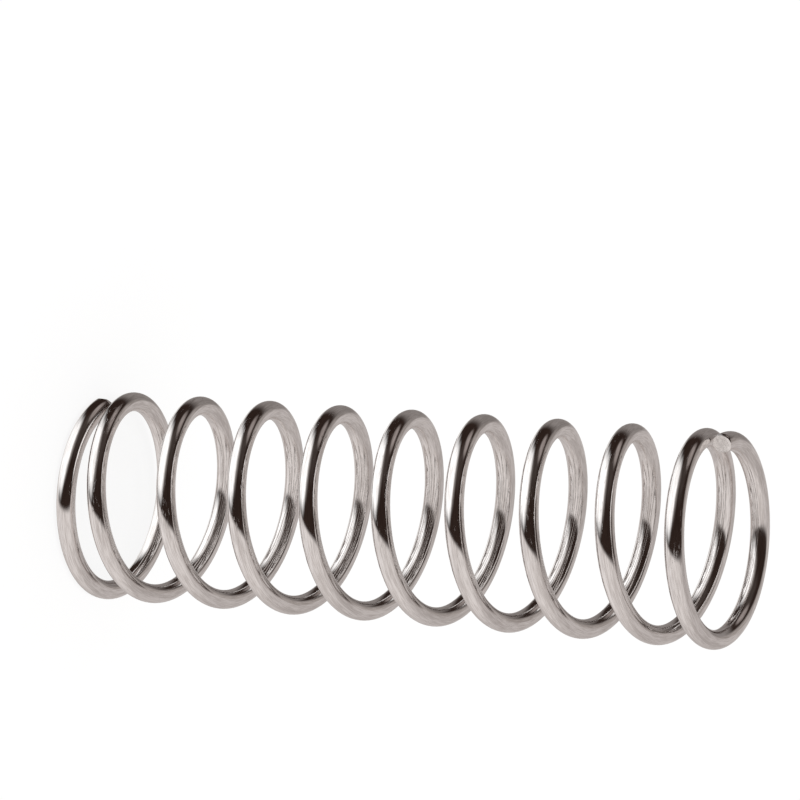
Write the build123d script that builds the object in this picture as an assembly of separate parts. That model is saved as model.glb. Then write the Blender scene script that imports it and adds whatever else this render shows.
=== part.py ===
from build123d import *
from math import cos, pi, radians, sin, sqrt, tan
import os

# A compression spring: one length of round wire, coiled right-handed, with closed ends
# that are sheared off and not ground.
# It stands on its bottom turn. The origin is in the middle of the base and Z runs up the
# axis. Lengths are in millimetres, and places along the wire are in turns from its
# bottom tip. Both tips lie on the -X side.

# What a spring maker is told
wire_diameter = 0.9
outside_diameter = 10.0
free_length = 32.5
total_turns = 10.0

# The closed ends
closing_turns = 0.84  # turns over which the slope grows from none to full
seat_clearance = 0.02  # gap between a tip and the turn that it closes on
tip_tuck = 0.2  # how far a tip is left bent in towards the axis
tuck_turns = 0.1  # turns over which a tip bends in

# The shear cuts, in degrees from square
bottom_cut_angle = 45  # leaves the outer side of the wire short
top_cut_angle = -10  # leaves the inner side a little short

points_per_turn = 20  # places that the curve of the wire's middle passes through
end_spans = (0.3, 1.3)  # turns from each tip at which the wire is swept in separate spans

wire_radius = wire_diameter / 2
coil_radius = outside_diameter / 2 - wire_radius  # from the axis to the wire's middle
axial_span = free_length - wire_diameter  # between the middles of the two end turns

# From each tip the wire lies flat for flat_turns, and then its slope grows evenly over
# closing_turns. One turn after the tip it has climbed just enough to pass the tip at
# seat_clearance. With the free length, that settles flat_turns and the pitch.
tip_step = wire_diameter + seat_clearance
growth = 2 * closing_turns * tip_step / axial_span
climbing_turns = growth + sqrt(growth**2 + growth * (total_turns - 2 - closing_turns))
flat_turns = 1 - climbing_turns
pitch = 2 * closing_turns * tip_step / climbing_turns**2


def climb(turns_from_tip):
    # How far the wire has climbed along the axis since its tip
    climbed_turns = max(0, turns_from_tip - flat_turns)
    if climbed_turns < closing_turns:
        return pitch * climbed_turns**2 / (2 * closing_turns)
    return pitch * (climbed_turns - closing_turns / 2)


def middle_of_wire(turns):
    # The top half is the bottom half turned over
    turns_from_tip = min(turns, total_turns - turns)
    height = wire_radius + climb(turns_from_tip)
    if turns > total_turns / 2:
        height = free_length - height
    bend = max(0, 1 - turns_from_tip / tuck_turns)
    radius = coil_radius - tip_tuck * bend**2
    angle = 2 * pi * turns
    return Vector(-radius * cos(angle), -radius * sin(angle), height)


def wire_section():
    # A circle in four quarters, which sweeps into lighter faces than a whole one
    quarters = [CenterArc((0, 0), wire_radius, start, 90) for start in (0, 90, 180, 270)]
    return make_face(quarters)


def offcut(cut_angle):
    # What a shear cut takes off a tip. X points away from the coil's axis, and Z along
    # the wire into the coil. The bar is a little thicker than the wire, and passes clear
    # of the next turn.
    slant = tan(radians(cut_angle))
    bar_radius = wire_radius + seat_clearance / 2
    bar = Pos(0, 0, -seat_clearance) * Cylinder(
        bar_radius, 2 * (seat_clearance + bar_radius * abs(slant)),
        align=(Align.CENTER, Align.CENTER, Align.MIN))
    long_side = -wire_radius if cut_angle > 0 else wire_radius
    cut = Plane(origin=(long_side, 0, 0), z_dir=(-slant, 0, 1))
    return split(bar, bisect_by=cut, keep=Keep.BOTTOM)


def in_spans(middle):
    # With short spans near the tips, a cut meets only a tip's own faces
    near = [turns / total_turns for turns in end_spans]
    limits = [0, *near, *[1 - limit for limit in reversed(near)], 1]
    return Wire([middle.trim(start, end) for start, end in zip(limits, limits[1:])])


def spring_coil():
    steps = round(total_turns * points_per_turn)
    middle = Spline(*[middle_of_wire(total_turns * i / steps) for i in range(steps + 1)])
    outward = Vector(-1, 0, 0)  # from the axis towards both tips
    bottom_tip = Plane(origin=middle @ 0, x_dir=outward, z_dir=middle % 0)
    top_tip = Plane(origin=middle @ 1, x_dir=outward, z_dir=-(middle % 1))
    coil = sweep(bottom_tip * wire_section(), path=in_spans(middle), is_frenet=True)
    return coil - bottom_tip * offcut(bottom_cut_angle) - top_tip * offcut(top_cut_angle)


os.makedirs("parts", exist_ok=True)
export_step(spring_coil(), "parts/spring_coil.step")
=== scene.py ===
import math

import bmesh
import bpy
from mathutils import Matrix, Quaternion, Vector


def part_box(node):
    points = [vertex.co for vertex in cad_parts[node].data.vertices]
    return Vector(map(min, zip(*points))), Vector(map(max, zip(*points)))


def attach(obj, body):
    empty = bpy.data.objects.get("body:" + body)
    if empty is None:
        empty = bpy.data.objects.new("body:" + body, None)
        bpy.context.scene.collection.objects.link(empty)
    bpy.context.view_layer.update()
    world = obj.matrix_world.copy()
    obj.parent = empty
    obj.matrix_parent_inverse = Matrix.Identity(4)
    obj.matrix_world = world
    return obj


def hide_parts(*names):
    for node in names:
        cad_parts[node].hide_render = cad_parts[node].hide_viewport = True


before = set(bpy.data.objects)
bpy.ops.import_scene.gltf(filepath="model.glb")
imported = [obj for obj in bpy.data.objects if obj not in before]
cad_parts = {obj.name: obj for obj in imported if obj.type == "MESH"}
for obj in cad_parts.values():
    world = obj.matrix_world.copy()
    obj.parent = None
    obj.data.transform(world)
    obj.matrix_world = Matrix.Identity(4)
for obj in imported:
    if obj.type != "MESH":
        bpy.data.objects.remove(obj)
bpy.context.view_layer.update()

coilLow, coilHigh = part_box("spring_coil")

wire = {
    "diameter": 0.0009,
    "turns": 10,
    "closingTurns": 0.84,       # turns over which the slope grows from none to full
    "seatClearance": 0.00002,   # between a tip and the turn it closes on
    "tipTuck": 0.0002,          # how far a tip is bent in towards the axis
    "tuckTurns": 0.1,
    "stepsPerTurn": 96,
    "sides": 40,
}

wireRadius = wire["diameter"] / 2
coilRadius = (coilHigh.x - coilLow.x) / 2 - wireRadius
freeLength = coilHigh.z - coilLow.z
axialSpan = freeLength - wire["diameter"]

# the wire lies flat at each tip, and one turn on it has climbed just past the tip
tipStep = wire["diameter"] + wire["seatClearance"]
growth = 2 * wire["closingTurns"] * tipStep / axialSpan
climbingTurns = growth + math.sqrt(
    growth ** 2 + growth * (wire["turns"] - 2 - wire["closingTurns"]))
flatTurns = 1 - climbingTurns
pitch = 2 * wire["closingTurns"] * tipStep / climbingTurns ** 2

weldDistance = wireRadius / 1000
cutTolerance = wireRadius / 10000

stepAngle = 2 * math.pi / wire["stepsPerTurn"]
closedSteps = math.ceil((flatTurns + wire["closingTurns"]) * wire["stepsPerTurn"])
halfSteps = wire["turns"] * wire["stepsPerTurn"] // 2


def climb(turnsFromTip):
    climbed = max(0, turnsFromTip - flatTurns)
    if climbed < wire["closingTurns"]:
        return pitch * climbed ** 2 / (2 * wire["closingTurns"])
    return pitch * (climbed - wire["closingTurns"] / 2)


def slope(turns):
    # the helix angle, none at the tips and steepest in the open turns
    climbed = max(0, min(turns, wire["turns"] - turns) - flatTurns)
    rise = pitch * min(1, climbed / wire["closingTurns"])
    return math.atan2(rise, 2 * math.pi * coilRadius)


def wirePlace(turns):
    # how far the wire's middle is from the axis, and its height
    turnsFromTip = min(turns, wire["turns"] - turns)
    height = wireRadius + climb(turnsFromTip)
    if turns > wire["turns"] / 2:
        height = freeLength - height
    bend = max(0, 1 - turnsFromTip / wire["tuckTurns"])
    return coilRadius - wire["tipTuck"] * bend ** 2, height


def ringParts(geom):
    edges = [part for part in geom if isinstance(part, bmesh.types.BMEdge)]
    verts = [part for part in geom if isinstance(part, bmesh.types.BMVert)]
    return edges, verts


def windClosedEnd(bm):
    # one ring of the wire's section, spun a step at a time while the slope still grows
    radius, height = wirePlace(0)
    ring = bmesh.ops.create_circle(
        bm, segments=wire["sides"], radius=wireRadius, cap_ends=False,
        matrix=Matrix.Rotation(math.pi / 2, 4, "X"))
    verts = ring["verts"]
    for vert in verts:
        vert[bm.verts.layers.float_vector["straightWire"]] = (vert.co.x, vert.co.z, 0)
    edges = bm.edges[:]
    bmesh.ops.translate(bm, verts=verts, vec=(-radius, 0, height))
    for step in range(1, closedSteps + 1):
        turns = step / wire["stepsPerTurn"]
        newRadius, newHeight = wirePlace(turns)
        spun = bmesh.ops.spin(
            bm, geom=edges + verts, cent=(0, 0, 0), axis=(0, 0, 1),
            dvec=(0, 0, newHeight - height), angle=stepAngle, steps=1,
            use_merge=False, use_duplicate=False)
        edges, verts = ringParts(spun["geom_last"])
        outward = Matrix.Rotation(turns * 2 * math.pi, 3, "Z") @ Vector((-1, 0, 0))
        steeper = slope(turns) - slope(turns - 1 / wire["stepsPerTurn"])
        bmesh.ops.translate(bm, verts=verts, vec=outward * (newRadius - radius))
        bmesh.ops.rotate(
            bm, verts=verts, cent=outward * newRadius + Vector((0, 0, newHeight)),
            matrix=Matrix.Rotation(steeper, 3, outward))
        radius, height = newRadius, newHeight
    return edges + verts


def windOpenTurns(bm, ring):
    steps = halfSteps - closedSteps
    bmesh.ops.spin(
        bm, geom=ring, cent=(0, 0, 0), axis=(0, 0, 1),
        dvec=(0, 0, pitch / wire["stepsPerTurn"]), angle=steps * stepAngle, steps=steps,
        use_merge=False, use_duplicate=False)


def measureWire(bm):
    # the rings were made in order, so each vertex can be told its place along the wire
    straight = bm.verts.layers.float_vector["straightWire"]
    along = 0
    for index, vert in enumerate(bm.verts):
        ring = index // wire["sides"]
        if ring and index % wire["sides"] == 0:
            radius, height = wirePlace(ring / wire["stepsPerTurn"])
            lower = wirePlace((ring - 1) / wire["stepsPerTurn"])[1]
            along += math.hypot(radius * stepAngle, height - lower)
        vert[straight].z = along
    return along


def turnOver(bm, halfLength):
    # the top half is the bottom half turned over
    straight = bm.verts.layers.float_vector["straightWire"]
    top = bmesh.ops.duplicate(bm, geom=bm.verts[:] + bm.edges[:] + bm.faces[:])
    verts = [part for part in top["geom"] if isinstance(part, bmesh.types.BMVert)]
    bmesh.ops.rotate(
        bm, verts=verts, cent=(0, 0, freeLength / 2), matrix=Matrix.Rotation(math.pi, 3, "X"))
    for vert in verts:
        across, axial, along = vert[straight]
        vert[straight] = (across, -axial, 2 * halfLength - along)
    bmesh.ops.remove_doubles(bm, verts=bm.verts, dist=weldDistance)


# Each tip is sheared off and has one edge that the shear rolled over. Angles are in
# degrees from a square cut, above zero where the outside of the coil is left short.
tips = {
    "bottomEasing": 0.00015,    # the bottom tip is bent in by this much less than the top one
    "bottomCut": 44,
    "bottomRolledEdge": 72,
    "topCut": -18,
    "topRolledEdge": -58,
    "leastOffcut": 0.00003,
    "rolledEdgeWidth": 0.00013,
    "rimWidth": 0.00002,
    "rimHeight": 0.00001,
    "reach": 0.0021,        # wire next to a tip that a cut may touch
    "materialSlot": 1,      # the wire itself has the first slot
}


def easeBottomTip(bm):
    straight = bm.verts.layers.float_vector["straightWire"]
    bentLength = wire["tuckTurns"] * 2 * math.pi * coilRadius
    for vert in bm.verts:
        share = max(0, 1 - vert[straight].z / bentLength)
        vert.co.x -= tips["bottomEasing"] * share ** 2


def cutThrough(bm, wireEnd, middle, outOfWire):
    # takes off what lies past one plane near the wire's end, and caps the cut
    straight = bm.verts.layers.float_vector["straightWire"]
    verts = [vert for vert in bm.verts if abs(vert[straight].z - wireEnd) < tips["reach"]]
    near = set(verts)
    edges = [edge for edge in bm.edges if near.issuperset(edge.verts)]
    faces = [face for face in bm.faces if near.issuperset(face.verts)]
    bmesh.ops.bisect_plane(
        bm, geom=verts + edges + faces, dist=cutTolerance,
        plane_co=middle, plane_no=outOfWire, clear_outer=True)
    rim = [edge for edge in bm.edges if edge.is_boundary
           and abs(edge.verts[0][straight].z - wireEnd) < tips["reach"]]
    caps = bmesh.ops.holes_fill(bm, edges=rim, sides=0)["faces"]
    for face in caps:
        face.material_index = tips["materialSlot"]


def shearTip(bm, wireEnd, cut, rolledEdge):
    # the bottom tip, where the wire starts, faces +Y, and the top one -Y
    radius, height = wirePlace(0)
    if wireEnd > 0:
        facing = -1
        height = freeLength - height
    else:
        facing = 1
        radius += tips["bottomEasing"]
    cut, rolledEdge = math.radians(cut), math.radians(rolledEdge)
    depth = wireRadius * math.tan(abs(cut)) + tips["leastOffcut"]
    edgePlace = math.copysign(wireRadius - tips["rolledEdgeWidth"], cut)
    edgeDepth = depth + edgePlace * (math.tan(cut) - math.tan(rolledEdge))
    for angle, inward in ((cut, depth), (rolledEdge, edgeDepth)):
        middle = Vector((-radius, -facing * inward, height))
        outOfWire = Vector((-math.sin(angle), facing * math.cos(angle), 0))
        cutThrough(bm, wireEnd, middle, outOfWire)


def makeSpring():
    bm = bmesh.new()
    bm.verts.layers.float_vector.new("straightWire")
    windOpenTurns(bm, windClosedEnd(bm))
    halfLength = measureWire(bm)
    turnOver(bm, halfLength)
    easeBottomTip(bm)
    shearTip(bm, 0, tips["bottomCut"], tips["bottomRolledEdge"])
    shearTip(bm, 2 * halfLength, tips["topCut"], tips["topRolledEdge"])
    caps = [face for face in bm.faces if face.material_index == tips["materialSlot"]]
    bmesh.ops.recalc_face_normals(bm, faces=bm.faces)
    bmesh.ops.inset_region(
        bm, faces=caps, thickness=tips["rimWidth"], depth=tips["rimHeight"],
        use_even_offset=True, use_boundary=True)
    for face in bm.faces:
        face.smooth = face.material_index != tips["materialSlot"]
    mesh = bpy.data.meshes.new("coiled_wire")
    bm.to_mesh(mesh)
    bm.free()
    spring = bpy.data.objects.new("coiled_wire", mesh)
    bpy.context.scene.collection.objects.link(spring)
    return spring


drawnSteel = {
    "bright": (0.93, 0.908, 0.898),
    "dull": (0.68, 0.65, 0.634),
    "outerRoughness": 0.06,
    "innerRoughness": 0.09,     # the arbor it was wound on took off some of the shine
    "lineRoughness": 0.06,
    "lineWidth": 0.000038,
    "lineLength": 0.0006,
    "lineHeight": 0.0000007,
    "scuffWidth": 0.00005,
    "scuffLength": 0.0004,
    "scuffDepth": 0.0000012,
    "scuffRoughness": 0.3,
    "scuffEdge": (0.60, 0.70),
    "patchScale": 0.15,
    "patchEdge": (0.50, 0.58),
}

shearedSteel = {
    "bright": (0.97, 0.955, 0.94),
    "dull": (0.80, 0.78, 0.765),
    "smoothRoughness": 0.2,
    "tornRoughness": 0.35,
    "lineWidth": 0.00012,
    "lineLength": 0.0004,
    "lineHeight": 0.0000015,
}


def newMaterial(name):
    material = bpy.data.materials.new(name)
    material.use_nodes = True
    nodes = material.node_tree.nodes
    nodes.clear()
    output = nodes.new("ShaderNodeOutputMaterial")
    return material, nodes, material.node_tree.links, output


def mapRange(nodes, links, value, fromMin, fromMax, toMin=0, toMax=1):
    mapped = nodes.new("ShaderNodeMapRange")
    mapped.interpolation_type = "SMOOTHSTEP"
    for name, number in (
            ("From Min", fromMin), ("From Max", fromMax), ("To Min", toMin), ("To Max", toMax)):
        mapped.inputs[name].default_value = number
    links.new(value, mapped.inputs["Value"])
    return mapped.outputs["Result"]


def mathNode(nodes, links, operation, first, second):
    node = nodes.new("ShaderNodeMath")
    node.operation = operation
    for socket, value in zip(node.inputs, (first, second)):
        if isinstance(value, (int, float)):
            socket.default_value = value
        else:
            links.new(value, socket)
    return node.outputs["Value"]


def mixColors(nodes, links, mask, below, above):
    mix = nodes.new("ShaderNodeMix")
    mix.data_type = "RGBA"
    links.new(mask, mix.inputs["Factor"])
    for name, color in (("A", below), ("B", above)):
        # the first two sockets of each name are for plain values and vectors
        socket = [one for one in mix.inputs if one.name == name and one.type == "RGBA"][0]
        if isinstance(color, tuple):
            socket.default_value = (*color, 1)
        else:
            links.new(color, socket)
    return [one for one in mix.outputs if one.type == "RGBA"][0]


def noise(nodes, links, place, scale, detail):
    texture = nodes.new("ShaderNodeTexNoise")
    texture.inputs["Scale"].default_value = scale
    texture.inputs["Detail"].default_value = detail
    links.new(place, texture.inputs["Vector"])
    return texture.outputs["Fac"]


# fine lines with broad streaks among them, which both finishes use
wireMarks = {
    "fineDetail": 3,
    "broadDetail": 2,
    "broadScale": 0.17,
    "fineShare": 0.6,
    "contrast": (0.38, 0.62),
}


def wireMarksGroup():
    # Place is measured in line widths across the marks and in line lengths along them
    group = bpy.data.node_groups.new("wireMarks", "ShaderNodeTree")
    group.interface.new_socket("Place", in_out="INPUT", socket_type="NodeSocketVector")
    for name in ("Lines", "Height"):
        group.interface.new_socket(name, in_out="OUTPUT", socket_type="NodeSocketFloat")
    nodes, links = group.nodes, group.links
    place = nodes.new("NodeGroupInput").outputs["Place"]
    output = nodes.new("NodeGroupOutput")
    fine = noise(nodes, links, place, 1, wireMarks["fineDetail"])
    broad = noise(nodes, links, place, wireMarks["broadScale"], wireMarks["broadDetail"])
    lines = mathNode(
        nodes, links, "ADD",
        mathNode(nodes, links, "MULTIPLY", fine, wireMarks["fineShare"]),
        mathNode(nodes, links, "MULTIPLY", broad, 1 - wireMarks["fineShare"]))
    links.new(mapRange(nodes, links, lines, *wireMarks["contrast"]), output.inputs["Lines"])
    links.new(fine, output.inputs["Height"])
    return group


def stretched(nodes, links, coordinates, width, length, lengthAxis):
    # coordinates counted in widths, and in lengths along one axis
    stretch = nodes.new("ShaderNodeMapping")
    scale = [1 / width] * 3
    scale[lengthAxis] = 1 / length
    stretch.inputs["Scale"].default_value = scale
    links.new(coordinates, stretch.inputs["Vector"])
    return stretch.outputs["Vector"]


def placeMarks(nodes, links, coordinates, finish, lengthAxis, group):
    marks = nodes.new("ShaderNodeGroup")
    marks.node_tree = group
    place = stretched(
        nodes, links, coordinates, finish["lineWidth"], finish["lineLength"], lengthAxis)
    links.new(place, marks.inputs["Place"])
    return marks.outputs


def bumped(nodes, links, height, distance, normal=None):
    bump = nodes.new("ShaderNodeBump")
    bump.inputs["Strength"].default_value = 1
    bump.inputs["Distance"].default_value = distance
    links.new(height, bump.inputs["Height"])
    if normal:
        links.new(normal, bump.inputs["Normal"])
    return bump.outputs["Normal"]


def metalSurface(nodes, links, output, color, roughness, normal):
    surface = nodes.new("ShaderNodeBsdfPrincipled")
    surface.inputs["Metallic"].default_value = 1
    links.new(color, surface.inputs["Base Color"])
    links.new(roughness, surface.inputs["Roughness"])
    links.new(normal, surface.inputs["Normal"])
    links.new(surface.outputs["BSDF"], output.inputs["Surface"])


def scuffMask(nodes, links, coordinates, outside):
    # short dents, in patches, where the outside of the coil has knocked against others
    place = stretched(
        nodes, links, coordinates, drawnSteel["scuffWidth"], drawnSteel["scuffLength"], 2)
    dents = mapRange(
        nodes, links, noise(nodes, links, place, 1, 1), *drawnSteel["scuffEdge"])
    patches = mapRange(
        nodes, links, noise(nodes, links, place, drawnSteel["patchScale"], 1),
        *drawnSteel["patchEdge"])
    scuffs = mathNode(nodes, links, "MULTIPLY", dents, patches)
    return mathNode(nodes, links, "MULTIPLY", scuffs, outside)


def drawnWireFinish(group):
    material, nodes, links, output = newMaterial("drawnWire")
    attribute = nodes.new("ShaderNodeAttribute")
    attribute.attribute_name = "straightWire"
    place = attribute.outputs["Vector"]
    marks = placeMarks(nodes, links, place, drawnSteel, 2, group)
    parts = nodes.new("ShaderNodeSeparateXYZ")
    links.new(place, parts.inputs["Vector"])
    inward = parts.outputs["X"]
    outside = mapRange(nodes, links, inward, 0, -wireRadius / 2)
    scuffs = scuffMask(nodes, links, place, outside)
    polish = mapRange(
        nodes, links, inward, -wireRadius / 2, wireRadius,
        drawnSteel["outerRoughness"], drawnSteel["innerRoughness"])
    lines = mathNode(nodes, links, "MULTIPLY", marks["Lines"], drawnSteel["lineRoughness"])
    dents = mathNode(nodes, links, "MULTIPLY", scuffs, drawnSteel["scuffRoughness"])
    roughness = mathNode(
        nodes, links, "ADD", mathNode(nodes, links, "ADD", polish, lines), dents)
    color = mixColors(nodes, links, marks["Lines"], drawnSteel["bright"], drawnSteel["dull"])
    normal = bumped(nodes, links, marks["Height"], drawnSteel["lineHeight"])
    normal = bumped(nodes, links, scuffs, -drawnSteel["scuffDepth"], normal)
    metalSurface(nodes, links, output, color, roughness, normal)
    return material


def shearedFinish(group):
    material, nodes, links, output = newMaterial("shearedTip")
    place = nodes.new("ShaderNodeTexCoord").outputs["Object"]
    marks = placeMarks(nodes, links, place, shearedSteel, 0, group)
    roughness = mapRange(
        nodes, links, marks["Lines"], 0, 1,
        shearedSteel["smoothRoughness"], shearedSteel["tornRoughness"])
    color = mixColors(
        nodes, links, marks["Lines"], shearedSteel["bright"], shearedSteel["dull"])
    normal = bumped(nodes, links, marks["Height"], shearedSteel["lineHeight"])
    metalSurface(nodes, links, output, color, roughness, normal)
    return material


# What the bright wire mirrors. Each patch of light has a direction, a core and an edge,
# which are angles from that direction, and a colour.
roomColor = (0.029, 0.018, 0.0145)
roomPatches = {
    "ceiling": ((-0.87, 0, 0.50), 0, 36, (0.058, 0.045, 0.040)),
    "ceilingGlow": ((-0.82, -0.54, -0.19), 0, 40, (0.31, 0.28, 0.265)),
    "sideWall": ((-0.76, 0.47, 0.45), 4, 20, (0.34, 0.295, 0.28)),
    "backdropLeft": ((-0.10, 0.98, -0.14), 20, 39, (0.26, 0.235, 0.225)),
    "backdropRight": ((0.02, 0.78, 0.63), 6, 28, (0.42, 0.38, 0.36)),
    "paperBehind": ((0.08, 0.53, -0.84), 14, 29, (1.02, 1.00, 0.98)),
    "lowWindow": ((-0.40, 0.04, -0.915), 12, 35, (1.25, 1.25, 1.25)),
    "highWindow": ((-0.68, -0.43, -0.595), 22, 46, (1.35, 1.35, 1.35)),
}
tableColor = (0.735, 0.69, 0.67)
tablePatches = {
    "tableShade": ((0.09, 0.95, 0.31), 49, 100, (0.53, 0.49, 0.475)),
    "tableGlow": ((0.35, -0.40, -0.85), 2, 46, (0.83, 0.79, 0.775)),
}
tableMask = ((0.998, 0.03, -0.053), 82, 90)
studio = {
    "floorSize": 2,
    "floorColor": (0.85, 0.85, 0.85),
    "floorGlow": 0.85,      # share of the floor that the camera sees as unlit white
    "floorWhite": 1.04,
    "lampSize": 0.4,
    "lampHeight": 0.5,
    "lampPower": 2.2,
}


def patchMask(nodes, links, ray, direction, core, edge):
    aim = nodes.new("ShaderNodeVectorMath")
    aim.operation = "DOT_PRODUCT"
    aim.inputs[1].default_value = Vector(direction).normalized()
    fade = nodes.new("ShaderNodeMapRange")
    fade.interpolation_type = "SMOOTHSTEP"
    fade.inputs["From Min"].default_value = math.cos(math.radians(edge))
    fade.inputs["From Max"].default_value = math.cos(math.radians(core))
    links.new(ray, aim.inputs[0])
    links.new(aim.outputs["Value"], fade.inputs["Value"])
    return fade.outputs["Result"]


def lightPatches(nodes, links, ray, color, patches):
    for direction, core, edge, light in patches.values():
        mask = patchMask(nodes, links, ray, direction, core, edge)
        color = mixColors(nodes, links, mask, color, light)
    return color


def setWorld():
    world = bpy.data.worlds.new("studioWorld")
    bpy.context.scene.world = world
    world.use_nodes = True
    nodes = world.node_tree.nodes
    links = world.node_tree.links
    nodes.clear()
    ray = nodes.new("ShaderNodeTexCoord").outputs["Generated"]
    room = lightPatches(nodes, links, ray, roomColor, roomPatches)
    table = lightPatches(nodes, links, ray, tableColor, tablePatches)
    light = mixColors(nodes, links, patchMask(nodes, links, ray, *tableMask), room, table)
    mirrored = nodes.new("ShaderNodeBackground")
    backdrop = nodes.new("ShaderNodeBackground")
    backdrop.inputs["Color"].default_value = (1, 1, 1, 1)
    path = nodes.new("ShaderNodeLightPath")
    mix = nodes.new("ShaderNodeMixShader")
    output = nodes.new("ShaderNodeOutputWorld")
    links.new(light, mirrored.inputs["Color"])
    links.new(path.outputs["Is Camera Ray"], mix.inputs["Fac"])
    links.new(mirrored.outputs["Background"], mix.inputs[1])
    links.new(backdrop.outputs["Background"], mix.inputs[2])
    links.new(mix.outputs["Shader"], output.inputs["Surface"])


def layFloor():
    bm = bmesh.new()
    bmesh.ops.create_grid(bm, x_segments=1, y_segments=1, size=studio["floorSize"] / 2)
    mesh = bpy.data.meshes.new("floor")
    bm.to_mesh(mesh)
    bm.free()
    floor = bpy.data.objects.new("floor", mesh)
    bpy.context.scene.collection.objects.link(floor)
    floor.visible_glossy = False
    material, nodes, links, output = newMaterial("paleFloor")
    matte = nodes.new("ShaderNodeBsdfDiffuse")
    matte.inputs["Color"].default_value = (*studio["floorColor"], 1)
    glow = nodes.new("ShaderNodeEmission")
    glow.inputs["Strength"].default_value = studio["floorWhite"]
    path = nodes.new("ShaderNodeLightPath")
    share = nodes.new("ShaderNodeMath")
    share.operation = "MULTIPLY"
    share.inputs[1].default_value = studio["floorGlow"]
    mix = nodes.new("ShaderNodeMixShader")
    links.new(path.outputs["Is Camera Ray"], share.inputs[0])
    links.new(share.outputs["Value"], mix.inputs["Fac"])
    links.new(matte.outputs["BSDF"], mix.inputs[1])
    links.new(glow.outputs["Emission"], mix.inputs[2])
    links.new(mix.outputs["Shader"], output.inputs["Surface"])
    floor.data.materials.append(material)


def hangLamp():
    light = bpy.data.lights.new("overheadSoftbox", "AREA")
    light.size = studio["lampSize"]
    light.energy = studio["lampPower"]
    lamp = bpy.data.objects.new("overheadSoftbox", light)
    lamp.location = (0, 0, studio["lampHeight"])
    lamp.visible_glossy = False
    bpy.context.scene.collection.objects.link(lamp)


view = {
    "target": (-0.005512, 0, 0.015968),
    "azimuth": -11.27,
    "elevation": 26.31,
    "roll": 93.5,
    "distance": 0.22877,
    "lens": 221.73,
    "sensorWidth": 36,
    "clipStart": 0.01,
}


def placeCamera():
    azimuth, elevation = math.radians(view["azimuth"]), math.radians(view["elevation"])
    back = Vector((
        math.sin(azimuth) * math.cos(elevation),
        -math.cos(azimuth) * math.cos(elevation),
        math.sin(elevation)))
    lens = bpy.data.cameras.new("camera")
    lens.lens = view["lens"]
    lens.sensor_width = view["sensorWidth"]
    lens.clip_start = view["clipStart"]
    camera = bpy.data.objects.new("camera", lens)
    camera.rotation_mode = "QUATERNION"
    camera.location = Vector(view["target"]) + back * view["distance"]
    roll = Quaternion((0, 0, 1), math.radians(view["roll"]))
    camera.rotation_quaternion = (-back).to_track_quat("-Z", "Y") @ roll
    bpy.context.scene.collection.objects.link(camera)
    bpy.context.scene.camera = camera


bpy.context.scene.view_settings.view_transform = "Standard"
setWorld()
layFloor()
hangLamp()
placeCamera()
print("studio and camera set")

spring = makeSpring()
print("spring wound:", len(spring.data.polygons), "faces")

marksGroup = wireMarksGroup()
spring.data.materials.append(drawnWireFinish(marksGroup))
spring.data.materials.append(shearedFinish(marksGroup))
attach(spring, "root")
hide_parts("spring_coil")
print("wire and tips finished")
